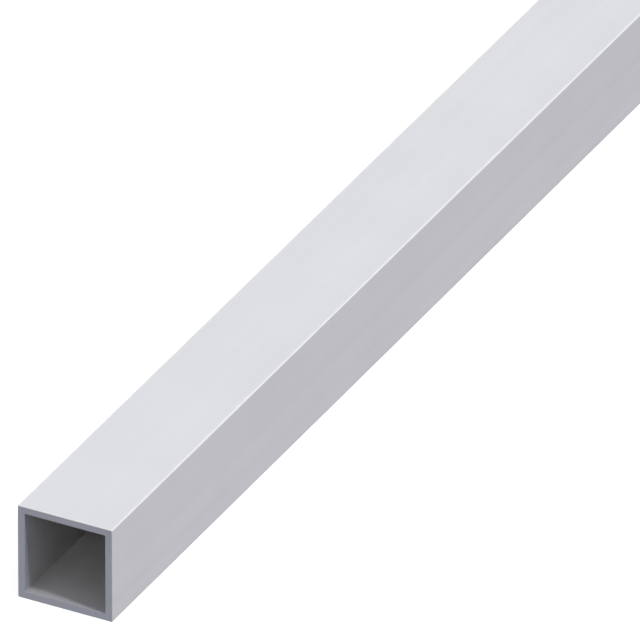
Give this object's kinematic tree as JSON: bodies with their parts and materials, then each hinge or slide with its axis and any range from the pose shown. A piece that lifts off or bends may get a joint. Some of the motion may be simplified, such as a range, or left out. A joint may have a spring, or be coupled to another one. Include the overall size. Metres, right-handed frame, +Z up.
{
  "type": "square tube",
  "caption": "Straight length of square hollow aluminium tube, open from end to end, with sharp corners and deburred sawn ends.",
  "frame": {"origin": "centre of the underside, halfway along the tube, on the surface it lies on", "axes": "+X along the tube, +Y across it, +Z up out of its top face"},
  "size_m": [0.5, 0.04, 0.04],
  "materials": {
    "aluminium": "satin"
  },
  "bodies": {
    "root": {"square_tube": "aluminium"}
  },
  "joints": []
}
